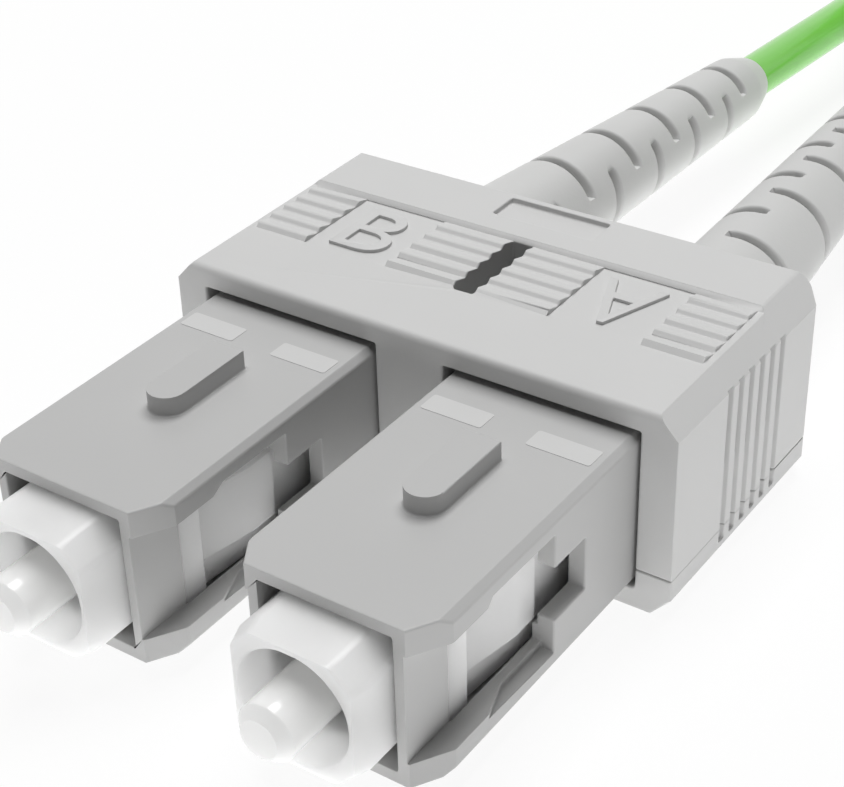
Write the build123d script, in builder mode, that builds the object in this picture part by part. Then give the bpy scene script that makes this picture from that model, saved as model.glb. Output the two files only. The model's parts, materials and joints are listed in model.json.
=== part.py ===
from build123d import *
from math import atan, cos, degrees, pi, radians, sin, tan
import os

os.makedirs("parts", exist_ok=True)

# Frame: X across the pair, Y from the ferrule tips to the cords, Z up from the surface the clip stands on.
pitch = 12.7
axis_z = 4.75

# Clip, in two halves that meet at the seam.
clip_width = 25.3
clip_depth = 13.0
clip_height = 10.0
clip_seam_z = 2.0
clip_chamfer_x = 1.1
clip_chamfer_z = 1.2
clip_foot_chamfer_x = 0.9
clip_foot_chamfer_z = 1.0
clip_rear_facet = 0.5
clip_edge_radius = 0.35
pocket_width = 9.28
pocket_top_z = 8.75
pocket_rear_y = 4.0
boot_hole_radius = 3.4
retainer_depth = 0.45
retainer_width = 1.4

# Ribbed thumb band on the clip's top and grooves on its sides.
band_front_y = -2.25
band_rear_y = 2.65
band_step = 0.22
rib_count = 5
rib_pitch = 0.98
rib_rise_length = 0.25
rib_outer = (8.6, 11.45)
rib_inner = (0.55, 4.15)
panel_depth = 0.06
centre_slot_width = 1.1
rear_recess_width = 5.2
rear_recess_length = 1.75
rear_recess_depth = 0.25
side_groove_count = 6
side_groove_pitch = 0.95
side_groove_width = 0.32
side_groove_first_y = -2.0
side_groove_depths = (0.3, 0.2)
side_groove_step_z = 5.1
side_groove_span_z = (1.3, 8.85)

# Grip: the push-pull outer housing.
grip_width = 9.0
grip_height = 7.4
grip_reach = 14.6
grip_rear_y = 3.6
grip_edge = 0.3
nose_chamfer_x = 0.95
nose_chamfer_y = 1.6
key_width = 1.75
key_height = 0.9
key_front_y = -15.38
key_rear_y = -10.57
passage_height = 6.3
nose_passage_width = 6.0
rear_passage_width = 7.0
boss_passage = (7.4, 3.5)
cheek_face = 3.45
cheek_rear_y = -18.38
slot_height = 5.0
slot_rear_y = -12.63
track_height = 5.6
track_floor_x = 3.9
cam_inner_y = -15.5
cam_outer_y = -17.3
window_height = 2.5
window_rear_y = -10.32

# Plug frame: the white inner housing.
plug_reach = 2.1
plug_rear_y = -3.0
plug_height = 5.9
plug_nose_width = 5.8
plug_body_width = 6.8
plug_nose_corner = 1.0
plug_leadin_face = 0.24
plug_leadin_length = 0.8
body_front_y = -18.3
recess_front_y = -17.04
recess_x = 3.0
boss_x = 3.55
boss_height = 3.2
boss_ramp_y = -13.92
boss_rear_y = -12.47
flank_x = 3.2
sleeve_bore_radius = 2.5
sleeve_bore_end_y = -18.2
web_rear_y = -16.6
web_hole_radius = 1.93
chamber_radius = 2.4
latch_window = (2.2, 1.6)
latch_window_y = -5.6

# Ferrule train.
ferrule_radius = 1.25
ferrule_tip_y = -25.1
ferrule_rear_y = -15.2
ferrule_seat_y = -17.85
ferrule_seat_radius = 0.9
ferrule_chamfer = 0.42
flange_cup_radius = 1.85
flange_cup_front_y = -17.8
collar_radius = 2.15
collar_front_y = -16.54
collar_rear_y = -14.8
tail_radius = 0.95
tail_bore_radius = 0.6
tail_rear_y = -6.6
spring_mean_radius = 1.62
spring_wire_radius = 0.2
spring_turns = 5
spring_facets = 10
stop_front_y = -8.6
stop_radius = 2.35
stop_flange_radius = 2.9
stop_flange_rear_y = -1.8
stop_bore_radius = 1.25
barrel_radius = 1.6
barrel_rear_y = 4.6
sleeve_radius = 2.0
sleeve_front_y = -1.6
sleeve_neck_y = 4.8
sleeve_neck_radius = 1.55
sleeve_rear_y = 6.45
fibre_radius = 0.45
fibre_front_y = -13.4

# Boot: slots alternate between its two sides and crowd together towards the tip.
boot_root_y = 6.5
boot_front_y = 0.6
boot_collar_y = (3.9, 6.2)
boot_collar_radius = 3.1
boot_neck_radius = 2.7
boot_radius = 3.0
boot_taper = 0.0405
boot_length = 28.0
boot_facets = 24
boot_tip_chamfer = 1.6
boot_end_radius = 1.42
boot_root_bore = 2.15
boot_bore = 1.28
boot_slot_count = 10
boot_slot_first = 5.6
boot_slot_pitch = 2.93
boot_slot_crowding = 0.85
boot_slot_width = 0.45
boot_slot_depth = 0.75
boot_slot_arc = 202.0
boot_slot_overlap = 19.0
boot_slot_facets = 10

# Cords, one metre each. Their put-away lengths are wound into oval hanks, the second on top of the first.
cord_diameter = 2.5
cord_facets = 12
hank_lift = 0.7
hank_layer = 2.55
hank_rows = 4
hank_turn_radii = (8.0, 13.1)
hank_run = 14.0
hank_x = 5.0
hank_y = 77.0
hank_margin = 0.15
hank_gap = 0.15
hank_chamfer = 0.9
hank_facets = 12
tie_width = 3.0
tie_thickness = 0.4
tie_gap = 0.3

hank_height = (hank_rows - 1) * hank_layer + cord_diameter
hank_outer = hank_turn_radii[1] + cord_diameter / 2 + hank_margin
hank_inner = hank_turn_radii[0] - cord_diameter / 2 - hank_margin
hank_base = {"b": hank_lift, "a": hank_lift + hank_height + hank_gap}
hank_top = hank_base["a"] + hank_height
lay_z = {tag: base + cord_diameter / 2 for tag, base in hank_base.items()}
lead_x = {"a": hank_x + hank_turn_radii[1], "b": hank_x - hank_turn_radii[1]}

# One entry per connector: suffix, side of the clip, lean and rise of the boot, turn of the boot,
# where the cord starts to bend past the boot's tip, and the rest of its route to the hank.
connectors = (
    ("a", 1, -3.1, 1.5, -2.5, (-3.5, 8.0),
     ((9.0, 53.0, 7.2), (16.2, 64.5, lay_z["a"] + 0.6), (lead_x["a"], hank_y, lay_z["a"]))),
    ("b", -1, 4.18, 0.0, 56.5, (6.0, 16.0),
     ((-6.4, 60.5, 2.8), (lead_x["b"] - 0.1, 69.5, lay_z["b"]), (lead_x["b"], hank_y, lay_z["b"]))),
)

deck_z = clip_height - band_step
clip_lean = clip_chamfer_x / clip_chamfer_z
deck_half = clip_width / 2 - clip_chamfer_x + band_step * clip_lean
clip_front_y = -clip_depth / 2
clip_rear_y = clip_depth / 2
grip_front_y = clip_front_y - grip_reach
plug_front_y = grip_front_y - plug_reach
half_grip = grip_width / 2
tray_floor_z = axis_z - grip_height / 2


def facing(x, y, z=axis_z):
    """Plane across the connector at depth y, with its normal towards the ferrule tip."""
    return Plane(origin=(x, y, z), x_dir=(1, 0, 0), z_dir=(0, -1, 0))


def level(z):
    """Horizontal plane at height z."""
    return Plane.XY.offset(z)


# Clip cover
with BuildPart() as clip_upper:
    with BuildSketch(facing(0, clip_rear_y, 0)):
        with BuildLine():
            Polyline(
                (0, clip_seam_z),
                (clip_width / 2, clip_seam_z),
                (clip_width / 2, clip_height - clip_chamfer_z),
                (deck_half, deck_z),
                (0, deck_z),
            )
            mirror(about=Plane.YZ)
        make_face()
    extrude(amount=clip_depth)
    chamfer(clip_upper.edges().filter_by(Axis.Z).group_by(Axis.Y)[-1], clip_rear_facet)
    fillet(clip_upper.faces().sort_by(Axis.Y)[0].edges().group_by(Axis.Z)[-1], clip_edge_radius)

    # The deck stands higher behind the thumb band
    with BuildSketch(level(deck_z)):
        with Locations((0, (band_rear_y + clip_rear_y) / 2)):
            Rectangle(2 * deck_half, clip_rear_y - band_rear_y)
    extrude(amount=band_step, taper=degrees(atan(clip_lean)))

    # Pockets for the grips, with a retaining rib on each wall
    with BuildSketch(level(clip_seam_z)):
        for side in (1, -1):
            with Locations((side * pitch / 2, (clip_front_y + pocket_rear_y) / 2)):
                Rectangle(pocket_width, pocket_rear_y - clip_front_y)
        for x in (pitch / 2, -pitch / 2):
            for wall in (1, -1):
                with Locations((x + wall * (pocket_width - retainer_depth) / 2, 0)):
                    Rectangle(retainer_depth, retainer_width, mode=Mode.SUBTRACT)
    extrude(amount=pocket_top_z - clip_seam_z, mode=Mode.SUBTRACT)

    # Arched holes for the boots in the rear wall
    with BuildSketch(facing(0, clip_rear_y)):
        for side in (1, -1):
            with Locations((side * pitch / 2, 0)):
                Circle(boot_hole_radius)
            with Locations((side * pitch / 2, (clip_seam_z - axis_z) / 2)):
                Rectangle(2 * boot_hole_radius, axis_z - clip_seam_z)
    extrude(amount=clip_rear_y - pocket_rear_y + 0.5, mode=Mode.SUBTRACT)

    # Saw-tooth ribs of the thumb band, in four fields
    for near, far in (rib_outer, rib_inner):
        for side in (1, -1):
            with BuildSketch(Plane.YZ.offset(min(side * near, side * far))):
                for i in range(rib_count):
                    front = band_front_y + i * rib_pitch
                    with BuildLine():
                        Polyline(
                            (front, deck_z - 0.1),
                            (front, deck_z),
                            (front + rib_rise_length, clip_height),
                            (front + rib_pitch, deck_z),
                            (front + rib_pitch, deck_z - 0.1),
                            close=True,
                        )
                    make_face()
            extrude(amount=far - near)

    # Flat panels between the rib fields, and the recess on the rear edge
    with BuildSketch(level(deck_z)):
        for side in (1, -1):
            with Locations((side * (rib_inner[1] + rib_outer[0]) / 2, (band_front_y + band_rear_y) / 2)):
                Rectangle(rib_outer[0] - rib_inner[1], band_rear_y - band_front_y)
    extrude(amount=-panel_depth, mode=Mode.SUBTRACT)
    with BuildSketch(level(clip_height)):
        with Locations((0, clip_rear_y - 0.55 - rear_recess_length / 2)):
            Rectangle(rear_recess_width, rear_recess_length)
    extrude(amount=-rear_recess_depth, mode=Mode.SUBTRACT)

    # Centre slot, right through the wall between the pockets
    with BuildSketch(level(clip_seam_z)):
        with Locations((0, (band_front_y + band_rear_y) / 2)):
            Rectangle(centre_slot_width, band_rear_y - band_front_y)
    extrude(amount=clip_height, mode=Mode.SUBTRACT)

    # Upright grooves on both sides, deeper above the step than below it
    low_z, high_z = side_groove_span_z
    spans = ((side_groove_step_z, high_z), (clip_seam_z, side_groove_step_z))
    for (bottom, top), depth in zip(spans, side_groove_depths):
        with BuildSketch(level(bottom)):
            for side in (1, -1):
                for i in range(side_groove_count):
                    with Locations((side * clip_width / 2, side_groove_first_y + i * side_groove_pitch)):
                        Rectangle(2 * depth, side_groove_width)
        extrude(amount=top - bottom, mode=Mode.SUBTRACT)

# Clip tray, with the latch tongue that stands in the centre slot
with BuildPart() as clip_lower:
    with BuildSketch(facing(0, clip_rear_y, 0)):
        with BuildLine():
            Polyline(
                (0, clip_seam_z),
                (clip_width / 2, clip_seam_z),
                (clip_width / 2, clip_foot_chamfer_z),
                (clip_width / 2 - clip_foot_chamfer_x, 0),
                (0, 0),
            )
            mirror(about=Plane.YZ)
        make_face()
    extrude(amount=clip_depth)
    chamfer(clip_lower.edges().filter_by(Axis.Z).group_by(Axis.Y)[-1], clip_rear_facet)
    with BuildSketch(level(tray_floor_z)):
        for side in (1, -1):
            with Locations((side * pitch / 2, (clip_front_y + pocket_rear_y) / 2)):
                Rectangle(pocket_width, pocket_rear_y - clip_front_y)
    extrude(amount=clip_seam_z, mode=Mode.SUBTRACT)
    with BuildSketch(facing(0, clip_rear_y)):
        for side in (1, -1):
            with Locations((side * pitch / 2, 0)):
                Circle(boot_hole_radius)
    extrude(amount=clip_rear_y - pocket_rear_y + 0.5, mode=Mode.SUBTRACT)
    with BuildSketch(level(low_z)):
        for side in (1, -1):
            for i in range(side_groove_count):
                with Locations((side * clip_width / 2, side_groove_first_y + i * side_groove_pitch)):
                    Rectangle(2 * side_groove_depths[1], side_groove_width)
    extrude(amount=clip_seam_z - low_z, mode=Mode.SUBTRACT)
    tongue_height = clip_height - 3.2
    with BuildSketch(Plane.YZ.offset(-0.4)):
        with Locations(((band_front_y + band_rear_y) / 2, clip_seam_z + tongue_height / 2 - 0.5)):
            Rectangle(3.6, tongue_height)
    extrude(amount=0.8)

for piece, name in ((clip_upper, "clip_upper"), (clip_lower, "clip_lower")):
    piece.part.label = name
    export_step(piece.part, f"parts/{name}.step")


for tag, side, lean, rise, turn, bend, route in connectors:
    x0 = side * pitch / 2
    axis = Axis((x0, 0, axis_z), (0, 1, 0))
    along = Plane(origin=(x0, 0, axis_z), x_dir=(1, 0, 0), z_dir=(0, 0, 1))

    # Grip
    with BuildPart() as grip:
        with BuildSketch(facing(x0, grip_rear_y)):
            Rectangle(grip_width, grip_height)
            chamfer(vertices(), grip_edge)
        extrude(amount=grip_rear_y - grip_front_y)

        # Slanted corners of the nose
        with BuildSketch(along.offset(-grip_height / 2)):
            for flip in (1, -1):
                with BuildLine():
                    Polyline(
                        (flip * half_grip, grip_front_y),
                        (flip * (half_grip - nose_chamfer_x), grip_front_y),
                        (flip * half_grip, grip_front_y + nose_chamfer_y),
                        close=True,
                    )
                make_face()
        extrude(amount=grip_height, mode=Mode.SUBTRACT)

        # Polarity key, round at its front end
        with BuildSketch(along.offset(grip_height / 2)):
            key_shoulder_y = key_front_y + key_width / 2
            with BuildLine():
                Polyline(
                    (-key_width / 2, key_shoulder_y),
                    (-key_width / 2, key_rear_y),
                    (key_width / 2, key_rear_y),
                    (key_width / 2, key_shoulder_y),
                )
                ThreePointArc(
                    (key_width / 2, key_shoulder_y),
                    (0, key_front_y),
                    (-key_width / 2, key_shoulder_y),
                )
            make_face()
        extrude(amount=key_height)

        # Passage for the plug frame: narrow between the cheeks, wider behind them
        with BuildSketch(facing(x0, grip_rear_y)):
            Rectangle(nose_passage_width, passage_height)
        extrude(amount=grip_rear_y - grip_front_y, mode=Mode.SUBTRACT)
        with BuildSketch(facing(x0, grip_rear_y)):
            Rectangle(rear_passage_width, passage_height)
            Rectangle(*boss_passage)
        extrude(amount=grip_rear_y - cheek_rear_y, mode=Mode.SUBTRACT)

        # Side slots for the adapter's latch arms, open to the front
        for flip in (1, -1):
            with BuildSketch(along.offset(-slot_height / 2)):
                with BuildLine():
                    Polyline(
                        (flip * cheek_face, grip_front_y - 1),
                        (flip * (half_grip + 1), grip_front_y - 1),
                        (flip * (half_grip + 1), slot_rear_y),
                        (flip * (cheek_face - 0.3), slot_rear_y),
                        (flip * (cheek_face - 0.3), cheek_rear_y),
                        (flip * cheek_face, cheek_rear_y),
                        close=True,
                    )
                make_face()
            extrude(amount=slot_height, mode=Mode.SUBTRACT)

            # Hook tracks above and below, each ending in a cam that spreads the latch arm
            with BuildSketch(along.offset(-track_height / 2)):
                with BuildLine():
                    Polyline(
                        (flip * track_floor_x, slot_rear_y),
                        (flip * (half_grip + 1), slot_rear_y),
                        (flip * (half_grip + 1), cam_outer_y),
                        (flip * half_grip, cam_outer_y),
                        (flip * track_floor_x, cam_inner_y),
                        close=True,
                    )
                make_face()
            extrude(amount=track_height, mode=Mode.SUBTRACT)

            # Window behind the boss of the plug frame
            with BuildSketch(along.offset(-window_height / 2)):
                with Locations((flip * half_grip, (slot_rear_y + window_rear_y) / 2)):
                    Rectangle(3.0, window_rear_y - slot_rear_y + 0.02)
            extrude(amount=window_height, mode=Mode.SUBTRACT)

            # Notch for the clip's retaining rib
            with BuildSketch(along.offset(-grip_height / 2)):
                with Locations((flip * half_grip, 0)):
                    Rectangle(2 * (retainer_depth - 0.04), retainer_width + 0.2)
            extrude(amount=grip_height, mode=Mode.SUBTRACT)

    # Plug frame
    with BuildPart() as plug_frame:
        with BuildSketch(facing(x0, body_front_y)):
            Rectangle(plug_nose_width, plug_height)
            chamfer(vertices(), plug_nose_corner)
        extrude(amount=body_front_y - plug_front_y)
        nose = plug_frame.faces().sort_by(Axis.Y)[0]
        chamfer(nose.edges(), plug_leadin_face, plug_leadin_length, reference=nose)

        # Body with a recess and a rising flank on each side
        with BuildSketch(along.offset(-plug_height / 2)):
            with BuildLine():
                Polyline(
                    (0, body_front_y),
                    (plug_body_width / 2, body_front_y),
                    (plug_body_width / 2, recess_front_y),
                    (recess_x, recess_front_y),
                    (flank_x, boss_ramp_y),
                    (flank_x, plug_rear_y),
                    (0, plug_rear_y),
                )
                mirror(about=Plane.YZ)
            make_face()
        extrude(amount=plug_height)

        # Latch bosses: a ramp, a flat crest and a square shoulder
        with BuildSketch(along.offset(-boss_height / 2)):
            with BuildLine():
                Polyline(
                    (0, recess_front_y),
                    (recess_x, recess_front_y),
                    (boss_x, boss_ramp_y),
                    (boss_x, boss_rear_y),
                    (0, boss_rear_y),
                )
                mirror(about=Plane.YZ)
            make_face()
        extrude(amount=boss_height)

        # Sleeve bore, web hole, spring chamber and the windows of the rear latch
        with BuildSketch(facing(x0, sleeve_bore_end_y)):
            Circle(sleeve_bore_radius)
        extrude(amount=sleeve_bore_end_y - plug_front_y, mode=Mode.SUBTRACT)
        with BuildSketch(facing(x0, web_rear_y)):
            Circle(web_hole_radius)
        extrude(amount=web_rear_y - sleeve_bore_end_y, mode=Mode.SUBTRACT)
        with BuildSketch(facing(x0, plug_rear_y)):
            Circle(chamber_radius)
        extrude(amount=plug_rear_y - web_rear_y, mode=Mode.SUBTRACT)
        with BuildSketch(along.offset(-plug_height / 2)):
            with Locations((0, latch_window_y)):
                Rectangle(*latch_window)
        extrude(amount=plug_height, mode=Mode.SUBTRACT)

    # Ferrule
    with BuildPart() as ferrule:
        with BuildSketch(facing(x0, ferrule_seat_y)):
            Circle(ferrule_radius)
        extrude(amount=ferrule_seat_y - ferrule_tip_y)
        chamfer(ferrule.edges().sort_by(Axis.Y)[0], ferrule_chamfer)
        with BuildSketch(facing(x0, ferrule_rear_y)):
            Circle(ferrule_seat_radius)
        extrude(amount=ferrule_rear_y - ferrule_seat_y)

    # Ferrule flange: cup, collar and tail tube
    with BuildPart() as ferrule_flange:
        with BuildSketch(along):
            with BuildLine():
                Polyline(
                    (ferrule_seat_radius, flange_cup_front_y),
                    (flange_cup_radius, flange_cup_front_y),
                    (flange_cup_radius, collar_front_y),
                    (collar_radius, collar_front_y),
                    (collar_radius, collar_rear_y),
                    (tail_radius, collar_rear_y),
                    (tail_radius, tail_rear_y),
                    (tail_bore_radius, tail_rear_y),
                    (tail_bore_radius, ferrule_rear_y),
                    (ferrule_seat_radius, ferrule_rear_y),
                    close=True,
                )
            make_face()
        revolve(axis=axis)

    # Spring between the collar and the stop
    with BuildPart() as spring:
        spring_start = collar_rear_y + spring_wire_radius + 0.05
        spring_length = stop_front_y - collar_rear_y - 2 * spring_wire_radius - 0.1
        steps = spring_turns * spring_facets
        with BuildLine() as wire:
            Polyline(*[
                (
                    x0 + spring_mean_radius * cos(2 * pi * i / spring_facets),
                    spring_start + spring_length * i / steps,
                    axis_z + spring_mean_radius * sin(2 * pi * i / spring_facets),
                )
                for i in range(steps + 1)
            ])
        with BuildSketch(Plane(origin=wire.line @ 0, z_dir=wire.line % 0)):
            RegularPolygon(spring_wire_radius, 6)
        sweep(transition=Transition.RIGHT)

    # Back body: stop, latch tabs and crimp barrel
    with BuildPart() as back_body:
        with BuildSketch(along):
            with BuildLine():
                Polyline(
                    (stop_bore_radius, stop_front_y),
                    (stop_radius, stop_front_y),
                    (stop_radius, plug_rear_y),
                    (stop_flange_radius, plug_rear_y),
                    (stop_flange_radius, stop_flange_rear_y),
                    (barrel_radius, stop_flange_rear_y),
                    (barrel_radius, barrel_rear_y),
                    (stop_bore_radius, barrel_rear_y),
                    close=True,
                )
            make_face()
        revolve(axis=axis)
        with BuildSketch(along.offset(-plug_height / 2 + 0.05)):
            with Locations((0, latch_window_y)):
                Rectangle(latch_window[0] - 0.2, latch_window[1] - 0.2)
        extrude(amount=plug_height - 0.1)
        with BuildSketch(facing(x0, barrel_rear_y)):
            Circle(stop_bore_radius)
        extrude(amount=barrel_rear_y - stop_front_y, mode=Mode.SUBTRACT)

    # Crimp sleeve, necked down behind the barrel
    with BuildPart() as crimp_sleeve:
        with BuildSketch(along):
            with BuildLine():
                Polyline(
                    (barrel_radius + 0.03, sleeve_front_y),
                    (sleeve_radius, sleeve_front_y),
                    (sleeve_radius, sleeve_neck_y - 0.3),
                    (sleeve_neck_radius, sleeve_neck_y + 0.3),
                    (sleeve_neck_radius, sleeve_rear_y),
                    (cord_diameter / 2, sleeve_rear_y),
                    (cord_diameter / 2, sleeve_neck_y + 0.3),
                    (barrel_radius + 0.03, sleeve_neck_y - 0.1),
                    close=True,
                )
            make_face()
        revolve(axis=axis)

    # Buffered fibre from the flange's tail to the cord
    with BuildPart() as fibre:
        with BuildSketch(facing(x0, sleeve_rear_y)):
            Circle(fibre_radius)
        extrude(amount=sleeve_rear_y - fibre_front_y)

    # Boot, leaning from the clip's rear face on
    lift = cos(radians(rise))
    out = Vector(sin(radians(lean)) * lift, cos(radians(lean)) * lift, sin(radians(rise)))
    across = Vector(cos(radians(lean)), -sin(radians(lean)), 0)
    root = Vector(x0, boot_root_y, axis_z)

    def section(distance):
        """Plane across the leaning boot at that distance behind the clip."""
        return Plane(origin=root + out * distance, x_dir=across, z_dir=out)

    rim_at = boot_length - boot_tip_chamfer
    rim_radius = boot_radius - boot_taper * rim_at
    with BuildPart() as boot:
        with BuildSketch(along):
            with BuildLine():
                Polyline(
                    (0, boot_front_y),
                    (boot_neck_radius, boot_front_y),
                    (boot_neck_radius, boot_collar_y[0]),
                    (boot_collar_radius, boot_collar_y[0]),
                    (boot_collar_radius, boot_collar_y[1]),
                    (0, boot_collar_y[1]),
                    close=True,
                )
            make_face()
        revolve(axis=axis)
        with BuildSketch(section(-1.0)):
            RegularPolygon(boot_radius + boot_taper, boot_facets)
        extrude(amount=1.0 + rim_at, taper=degrees(atan(boot_taper)))
        with BuildSketch(section(rim_at)):
            RegularPolygon(rim_radius, boot_facets)
        extrude(
            amount=boot_tip_chamfer,
            taper=degrees(atan((rim_radius - boot_end_radius) / boot_tip_chamfer)),
        )
        with BuildSketch(section(-0.1)):
            Circle(boot_bore)
        extrude(amount=boot_length + 1, mode=Mode.SUBTRACT)
        with BuildSketch(facing(x0, sleeve_rear_y + 0.1)):
            Circle(boot_root_bore)
        extrude(amount=sleeve_rear_y + 0.1 - boot_front_y, mode=Mode.SUBTRACT)
        for i in range(boot_slot_count):
            at = boot_slot_first + boot_slot_pitch * i**boot_slot_crowding
            start = turn - boot_slot_overlap / 2
            if i % 2:
                start = turn + boot_slot_overlap / 2 - boot_slot_arc
            surface = boot_radius - boot_taper * at
            floor = surface - boot_slot_depth
            arc = [radians(start + boot_slot_arc * k / boot_slot_facets) for k in range(boot_slot_facets + 1)]
            outer = [((surface + 1) * sin(t), -(surface + 1) * cos(t)) for t in arc]
            inner = [(floor * sin(t), -floor * cos(t)) for t in arc]
            with BuildSketch(section(at - boot_slot_width / 2)):
                with BuildLine():
                    Polyline(*outer, *reversed(inner), close=True)
                make_face()
            extrude(amount=boot_slot_width, mode=Mode.SUBTRACT)

    # Cord: straight through the boot and past its tip, then on to its hank
    points = [root + out * (boot_length + past) for past in bend] + [Vector(*p) for p in route]
    runs = [b - a for a, b in zip(points, points[1:])]
    radii = []
    for before, after in zip(runs, runs[1:]):
        half_turn = radians(before.get_angle(after) / 2)
        radii.append(0.45 * min(before.length, after.length) / tan(half_turn))
    cord_front = 0.15
    with BuildPart() as cord:
        with BuildSketch(section(cord_front)):
            RegularPolygon(cord_diameter / 2, cord_facets)
        extrude(amount=boot_length + bend[0] - cord_front)
        with BuildLine():
            path = FilletPolyline(*points, radius=radii)
        with BuildSketch(section(boot_length + bend[0])):
            RegularPolygon(cord_diameter / 2, cord_facets)
        sweep()
    cord_area = cord_facets / 2 * (cord_diameter / 2) ** 2 * sin(2 * pi / cord_facets)
    cord_length = path.length + boot_length + bend[0] - cord_front
    print(f"cord_{tag}: runs {[round(r.length, 1) for r in runs]}, radii {[round(r) for r in radii]}")
    print(f"length {cord_length:.1f}, volume {cord.part.volume:.1f} of {cord_area * cord_length:.1f}")

    # Hank of the put-away length
    with BuildPart() as cord_coil:
        with BuildSketch(Plane.XY.offset(hank_base[tag])):
            for radius, mode in ((hank_outer, Mode.ADD), (hank_inner, Mode.SUBTRACT)):
                bow = [pi * k / hank_facets for k in range(hank_facets + 1)]
                far = [(hank_x + radius * cos(t), hank_y + hank_run + radius * sin(t)) for t in bow]
                near = [(hank_x - radius * cos(t), hank_y - radius * sin(t)) for t in bow]
                with BuildLine():
                    Polyline(*far, *near, close=True)
                make_face(mode=mode)
        extrude(amount=hank_height)
        chamfer(cord_coil.edges().filter_by(Plane.XY), hank_chamfer)

    # Tie round both hanks, on the side where the cord comes in
    with BuildPart() as coil_tie:
        tie_middle = (hank_x, hank_y + hank_run / 2, 0)
        with BuildSketch(Plane(origin=tie_middle, x_dir=(side, 0, 0), z_dir=(0, -side, 0))):
            for grow, mode in ((tie_gap + tie_thickness, Mode.ADD), (tie_gap, Mode.SUBTRACT)):
                with Locations(((hank_outer + hank_inner) / 2, (hank_lift + hank_top) / 2)):
                    Rectangle(hank_outer - hank_inner + 2 * grow, hank_top - hank_lift + 2 * grow, mode=mode)
        extrude(amount=tie_width / 2, both=True)
        chamfer(coil_tie.edges().filter_by(Axis.Y), tie_thickness * 0.9)

    pieces = {
        "grip": grip,
        "plug_frame": plug_frame,
        "ferrule": ferrule,
        "ferrule_flange": ferrule_flange,
        "spring": spring,
        "back_body": back_body,
        "crimp_sleeve": crimp_sleeve,
        "fibre": fibre,
        "boot": boot,
        "cord": cord,
        "cord_coil": cord_coil,
        "coil_tie": coil_tie,
    }
    for name, piece in pieces.items():
        piece.part.label = f"{name}_{tag}"
        export_step(piece.part, f"parts/{name}_{tag}.step")
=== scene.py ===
import bpy
import bmesh
import json
from functools import partial
from math import cos, pi, radians, sin
from mathutils import Matrix, Vector


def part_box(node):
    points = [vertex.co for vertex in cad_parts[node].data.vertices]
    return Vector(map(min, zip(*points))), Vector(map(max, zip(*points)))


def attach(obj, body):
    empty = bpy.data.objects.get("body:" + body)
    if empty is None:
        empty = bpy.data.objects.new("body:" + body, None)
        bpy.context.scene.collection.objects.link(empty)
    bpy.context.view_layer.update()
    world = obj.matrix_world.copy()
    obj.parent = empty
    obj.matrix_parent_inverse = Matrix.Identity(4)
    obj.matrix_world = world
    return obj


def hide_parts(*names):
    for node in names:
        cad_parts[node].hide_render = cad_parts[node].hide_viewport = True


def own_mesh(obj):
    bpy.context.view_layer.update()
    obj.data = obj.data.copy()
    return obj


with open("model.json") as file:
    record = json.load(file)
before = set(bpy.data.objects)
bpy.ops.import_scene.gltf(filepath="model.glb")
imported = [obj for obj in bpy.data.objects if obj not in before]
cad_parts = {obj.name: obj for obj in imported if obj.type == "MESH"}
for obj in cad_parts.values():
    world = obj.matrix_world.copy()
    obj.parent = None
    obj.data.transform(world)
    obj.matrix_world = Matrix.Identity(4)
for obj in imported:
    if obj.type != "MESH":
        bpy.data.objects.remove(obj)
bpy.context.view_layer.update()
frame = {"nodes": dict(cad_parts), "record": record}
nodes = frame["nodes"]
record = frame["record"]
mm = 0.001
slotOf = {s["node"]: s["material_slot"] for s in record["subparts"]}
bodyOf = {n: body for body, members in record["behaviour"]["bodies"].items() for n in members}


# camera: placed so that the clip's corners, keys and ferrule tips fall where the photo has them
view = {
    "position": (39.729, -62.002, 50.559),  # mm
    "right": (0.8052, 0.59101, -0.04862),
    "down": (0.28579, -0.45859, -0.84144),
    "focalPx": 1908.5,
    "axisPx": (340.0, 393.5),
    "imagePx": (844, 787),
}


def makeCamera(v):
    right = Vector(v["right"]).normalized()
    up = -Vector(v["down"]).normalized()
    back = right.cross(up).normalized()
    up = back.cross(right)
    turn = Matrix((right, up, back)).transposed().to_4x4()
    data = bpy.data.cameras.new("photoCamera")
    width, height = v["imagePx"]
    data.sensor_fit = "HORIZONTAL"
    data.sensor_width = 36.0
    data.lens = v["focalPx"] / width * 36.0
    data.shift_x = (width / 2 - v["axisPx"][0]) / width
    data.shift_y = (v["axisPx"][1] - height / 2) / width
    data.clip_start = 0.005
    data.clip_end = 20
    camera = bpy.data.objects.new("photoCamera", data)
    bpy.context.scene.collection.objects.link(camera)
    camera.matrix_world = Matrix.Translation(Vector(v["position"]) * mm) @ turn
    bpy.context.scene.camera = camera


makeCamera(view)
print("camera placed")


# small helpers for objects, meshes and node trees
def newObject(name, data):
    piece = bpy.data.objects.new(name, data)
    bpy.context.scene.collection.objects.link(piece)
    return piece


def bakeModifiers(piece, keep=False):
    bpy.context.view_layer.update()
    graph = bpy.context.evaluated_depsgraph_get()
    mesh = bpy.data.meshes.new_from_object(piece.evaluated_get(graph), depsgraph=graph)
    piece.modifiers.clear()
    old = piece.data
    piece.data = mesh
    if old.users == 0 and isinstance(old, bpy.types.Mesh) and not keep:
        bpy.data.meshes.remove(old)
    mesh.name = piece.name


def closeMesh(mesh, distance=1e-7):
    bm = bmesh.new()
    bm.from_mesh(mesh)
    bmesh.ops.remove_doubles(bm, verts=bm.verts, dist=distance)
    bmesh.ops.recalc_face_normals(bm, faces=bm.faces)
    bm.to_mesh(mesh)
    bm.free()


def feed(tree, socket, value):
    if isinstance(value, bpy.types.NodeSocket):
        tree.links.new(value, socket)
    else:
        socket.default_value = value


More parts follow.
